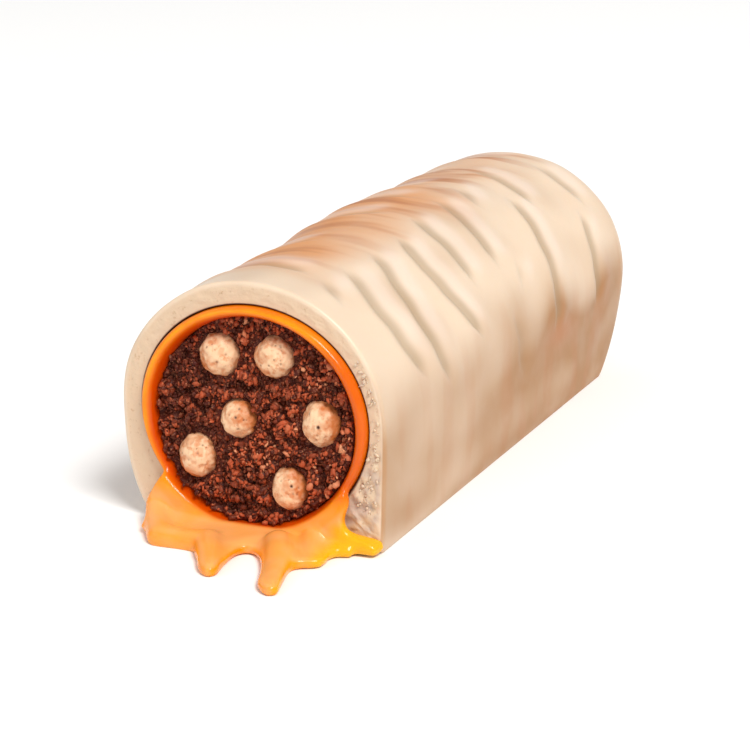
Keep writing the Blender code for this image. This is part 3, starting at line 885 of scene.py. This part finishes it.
def clumping(x, z, spheres):
    """Depth of the crumb's gaps, between clumps that have grains on them.

    Round each crisp ball the crumb lies back.
    """
    near = 0.0
    for ball, reach, stretch in spheres:
        distance = math.hypot(x - ball.x, (z - ball.z) / stretch) / reach
        near = max(near, smooth_step((1.35 - distance) / 0.3))
    clump = noise.noise(Vector((x, 0, z)) / CLUMP_SIZE)
    grain = noise.noise(Vector((x, 5, z)) / CLUMP_GRAIN)
    depth = CLUMP_DEPTH * clump + CLUMP_GRAIN_DEPTH * grain
    return (depth * (1 - near) + BALL_HOLLOW * near) * MM


def core_place(spheres, across, y, size):
    turn = 2 * math.pi * across
    x = BORE_X + (HOLE_HALF_WIDTH - CORE_GAP) * size * math.cos(turn)
    z = HOLE_Z + (HOLE_HALF_HEIGHT - CORE_GAP) * size * math.sin(turn)
    if y < 0:
        y = core_face(z) + clumping(x, z, spheres)
    return Vector((x, tucked(y, z), z)), (0.1,)


def crisp_spheres():
    """Middle, radius and stretch upwards of each crisp ball, as its solid has them."""
    spheres = []
    for name in sorted(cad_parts):
        if name.startswith("crisp_"):
            low, high = (Vector(corner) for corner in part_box(name))
            size = high - low
            spheres.append(((low + high) / 2, size.x / 2, size.z / size.x))
    return spheres


def add_grain(bm, middle, radius, rng, values):
    """A jagged little flake, with its layers' values."""
    turn = Euler([rng.uniform(0, 2 * math.pi) for _ in range(3)]).to_matrix().to_4x4()
    stretch = (rng.uniform(0.8, 1.7), rng.uniform(0.7, 1.1), rng.uniform(0.45, 0.9), 1)
    place = Matrix.Translation(middle) @ turn @ Matrix.Diagonal(stretch)
    grain = bmesh.ops.create_icosphere(bm, subdivisions=1, radius=radius, matrix=place)["verts"]
    values = tuple(values)
    for vert in grain:
        vert.co += (vert.co - middle) * rng.uniform(-0.45, 0.35)
        for layer, value in values:
            vert[layer] = value


class CANDY_OT_core(bpy.types.Operator):
    """Models the cocoa crumb core and the loose grains on its face"""

    bl_idname = "candy.core"
    bl_label = "Crumb core"

    def execute(self, context):
        settings = context.scene.candy_crumb
        material = crumb_material(settings)
        bm, layers = new_mesh("tone")
        rows = [(CUT_Y, share) for share in steps(CORE_ROWS)]
        rows += [(TUBE_END_Y, 1 - share) for share in steps(CORE_END_ROWS)]
        spheres = crisp_spheres()
        wrap(bm, layers, rows, CORE_COLUMNS, lambda *at: core_place(spheres, *at))
        finish_piece("crumb_core", bm, material, "cocoa_crumb", "filling")
        rng = random.Random(settings.seed)
        bm, layers = new_mesh("tone")
        for layer in range(GRAIN_LAYERS):
            spacing = settings.spacing * (1 + 0.2 * layer)
            columns = int(HOLE_HALF_WIDTH / spacing) + 1
            for column in range(-columns, columns + 1):
                for row in range(-columns, columns + 1):
                    x = (column + 0.5 * (row % 2) + rng.uniform(-0.45, 0.45)) * spacing
                    z = (row + rng.uniform(-0.45, 0.45)) * spacing
                    radius = settings.grain * (1 + 1.5 * rng.random() ** 3)
                    patch = noise.noise(Vector((x, 9, z)) / (2.2 * MM))
                    tone = rng.random() ** 1.3 * min(1.0, max(0.35, 0.85 + 0.9 * patch))
                    # The left part of the core is darker.
                    tone *= 0.5 + 0.5 * smooth_step((x + 5 * MM) / (4 * MM))
                    lift = rng.uniform(-0.5, 0.5)
                    if math.hypot(x / HOLE_HALF_WIDTH, z / HOLE_HALF_HEIGHT) > GRAIN_REACH:
                        continue
                    middle = Vector((BORE_X + x, 0.0, HOLE_Z + z))
                    gap = clumping(middle.x, middle.z, spheres)
                    # The upper layers only lie on the clumps, and the gaps stay dark.
                    if layer and gap > 0.02 * MM:
                        continue
                    middle.y = core_face(middle.z) + gap - (0.02 + 0.1 * layer + 0.12 * lift) * MM
                    clear = min(
                        (middle - ball).length - BALL_MARGIN * reach for ball, reach, _ in spheres
                    )
                    if clear > 0.05 * MM:
                        # Grains down in the gaps are darkened as painted shade.
                        tone *= 0.45 if gap > 0.06 * MM else 1.0
                        add_grain(bm, middle, radius, rng, [(layers[0], tone)])
        bmesh.ops.recalc_face_normals(bm, faces=bm.faces)
        finish_piece("crumb_grains", bm, material, "cocoa_crumb")
        return {"FINISHED"}


# The side on which each crisp ball is darker orange-brown: across and up.
DARKER_SIDES = ((-0.5, -0.7), (-0.7, -0.5), (0.85, 0.3), (0.85, 0.25), (-0.4, -0.8), (0.8, 0.45))
BURST_DEPTHS = (0.3, 0.35, 0.7, 1.0, 0.4, 0.8)  # how deep the larger burst bubble of each is
SPECKS = 14  # smaller burst bubbles of each
PIT_DEPTH = 0.16 * MM


class CANDY_OT_crisps(bpy.types.Operator):
    """Models the bubbled crisp balls that sit in the core"""

    bl_idname = "candy.crisps"
    bl_label = "Crisp balls"

    def execute(self, context):
        settings = context.scene.candy_crisp
        material = crisp_material(settings)
        for number, (middle, reach, stretch) in enumerate(crisp_spheres(), 1):
            rng = random.Random(number)
            # Burst bubbles, one of them larger, and smaller specks strewn round it.
            burst = Vector((0.3 + rng.uniform(-0.25, 0.25), -1, 0.25 + rng.uniform(-0.25, 0.25)))
            pits = [(burst.normalized(), 0.09, BURST_DEPTHS[number - 1])]
            for _ in range(SPECKS):
                aim = burst + Vector((rng.uniform(-1.1, 0.8), 0, rng.uniform(-0.9, 0.8)))
                pits.append((aim.normalized(), rng.uniform(0.03, 0.09), rng.uniform(0.2, 0.55)))
            across, up = DARKER_SIDES[number - 1]
            bm, (pit, toast_and_shade) = new_mesh("pit", "toast_and_shade")
            bmesh.ops.create_icosphere(bm, subdivisions=6, radius=1.0)
            for vert in bm.verts:
                out = vert.co.normalized()
                at = (out * reach + middle * 3) / settings.bubble
                bubble = noise.noise(at) + 0.5 * noise.noise(at * 2.3)
                hole = max(
                    depth * math.exp(-(((out - aim).length / size) ** 2))
                    for aim, size, depth in pits
                )
                lump = noise.noise(out * 1.6 + middle * 900)
                height = reach * (1.02 + 0.05 * lump) + settings.relief * bubble - PIT_DEPTH * hole
                vert.co = middle + Vector((out.x, out.y, out.z * stretch)) * height
                # The pit colour follows each pit's depth: painted shade.
                vert[pit] = smooth_step(hole * 1.5 - 0.15)
                side = out.x * across + out.z * up + 0.4 * noise.noise(out * 3 + middle * 500)
                # Painted shade: each ball darkens towards the back, where it sinks into the core,
                # and between its bubbles.
                rim = smooth_step((out.y + 0.75) / 0.55) + 0.9 * smooth_step((0.05 - bubble) / 0.4)
                vert[toast_and_shade] = min(0.9, 0.7 * smooth_step((side - 0.1) / 0.7) + 0.38 * rim)
            finish_piece(f"crisp_ball_{number}", bm, material, "rice_crisp", f"crisp_{number}")
        return {"FINISHED"}


CAMERA_PLACE = Vector((65.2, -152.9, 53.7)) * MM
CAMERA_AIM = Vector((-1.43, -2.82, 4.49)) * MM
LIGHT_AIM = (0, 0, 8 * MM)
KEY_PLACE, KEY_SIZE, KEY_COLOUR = (0.7, -0.5, 1.1), 0.5, (1.0, 0.985, 0.96)
FILL_PLACE, FILL_SIZE, FILL_COLOUR = (-0.9, -0.75, 0.75), 0.9, (1.0, 0.98, 0.96)
FLOOR_HALF_WIDTH = 1.5
FLOOR_DROP = 0.02 * MM  # how far below the candy's base the floor lies


def add_light(name, place, aim, size, power, colour):
    """A square soft light."""
    light = bpy.data.lights.new(name, "AREA")
    light.shape = "SQUARE"
    light.size = size
    light.energy = power
    light.color = colour
    lamp = bpy.data.objects.new(name, light)
    lamp.location = place
    lamp.rotation_euler = (Vector(aim) - Vector(place)).to_track_quat("-Z", "Y").to_euler()
    bpy.context.scene.collection.objects.link(lamp)


class CANDY_OT_stage(bpy.types.Operator):
    """Sets up the floor, the soft lights and the camera"""

    bl_idname = "candy.stage"
    bl_label = "Stage"

    def execute(self, context):
        settings = context.scene.candy_stage
        scene = context.scene
        bm = bmesh.new()
        bmesh.ops.create_grid(bm, x_segments=2, y_segments=2, size=FLOOR_HALF_WIDTH)
        bmesh.ops.translate(bm, verts=bm.verts, vec=(0, 0, -FLOOR_DROP))
        mesh = bpy.data.meshes.new("floor")
        bm.to_mesh(mesh)
        bm.free()
        material, _, _ = new_material(
            "matt_paper",
            Base_Color=(*settings.floor_colour, 1.0),
            Roughness=0.9,
            Specular_IOR_Level=0.2,
        )
        mesh.materials.append(material)
        floor = bpy.data.objects.new("floor", mesh)
        scene.collection.objects.link(floor)
        add_light("key", KEY_PLACE, LIGHT_AIM, KEY_SIZE, settings.key_power, KEY_COLOUR)
        add_light("fill", FILL_PLACE, LIGHT_AIM, FILL_SIZE, settings.fill_power, FILL_COLOUR)
        world = bpy.data.worlds.new("studio")
        world.use_nodes = True
        background = world.node_tree.nodes["Background"]
        background.inputs["Color"].default_value = (1.0, 1.0, 1.0, 1.0)
        background.inputs["Strength"].default_value = settings.ambient
        scene.world = world
        scene.view_settings.view_transform = "Standard"
        camera = bpy.data.cameras.new("camera")
        camera.lens = settings.focal
        camera.clip_start = 0.01
        view = bpy.data.objects.new("camera", camera)
        view.location = CAMERA_PLACE
        view.rotation_euler = (CAMERA_AIM - CAMERA_PLACE).to_track_quat("-Z", "Y").to_euler()
        scene.collection.objects.link(view)
        scene.camera = view
        return {"FINISHED"}


class CANDY_PT_panel(bpy.types.Panel):
    """Lists the candy's sizes, colours and pieces"""

    bl_label = "Filled Candy"
    bl_idname = "CANDY_PT_panel"
    bl_space_type = "VIEW_3D"
    bl_region_type = "UI"
    bl_category = "Candy"

    def draw(self, context):
        for settings, operator in GROUPS.values():
            box = self.layout.box()
            box.label(text=operator.bl_label)
            group = getattr(context.scene, settings)
            for name in group.bl_rna.properties.keys():
                if name not in ("rna_type", "name"):
                    box.prop(group, name)
            box.operator(operator.bl_idname)


GROUPS = {
    CoatingSettings: ("candy_coating", CANDY_OT_coating),
    CaramelSettings: ("candy_caramel", CANDY_OT_caramel),
    CrumbSettings: ("candy_crumb", CANDY_OT_core),
    CrispSettings: ("candy_crisp", CANDY_OT_crisps),
    StageSettings: ("candy_stage", CANDY_OT_stage),
}


def register():
    for settings, (name, operator) in GROUPS.items():
        bpy.utils.register_class(settings)
        bpy.utils.register_class(operator)
        setattr(bpy.types.Scene, name, PointerProperty(type=settings))
    bpy.utils.register_class(CANDY_PT_panel)


def unregister():
    bpy.utils.unregister_class(CANDY_PT_panel)
    for settings, (name, operator) in GROUPS.items():
        delattr(bpy.types.Scene, name)
        bpy.utils.unregister_class(operator)
        bpy.utils.unregister_class(settings)


def main():
    register()
    bpy.ops.candy.coating()
    bpy.ops.candy.caramel()
    bpy.ops.candy.core()
    bpy.ops.candy.crisps()
    bpy.ops.candy.stage()


if __name__ == "__main__":
    main()
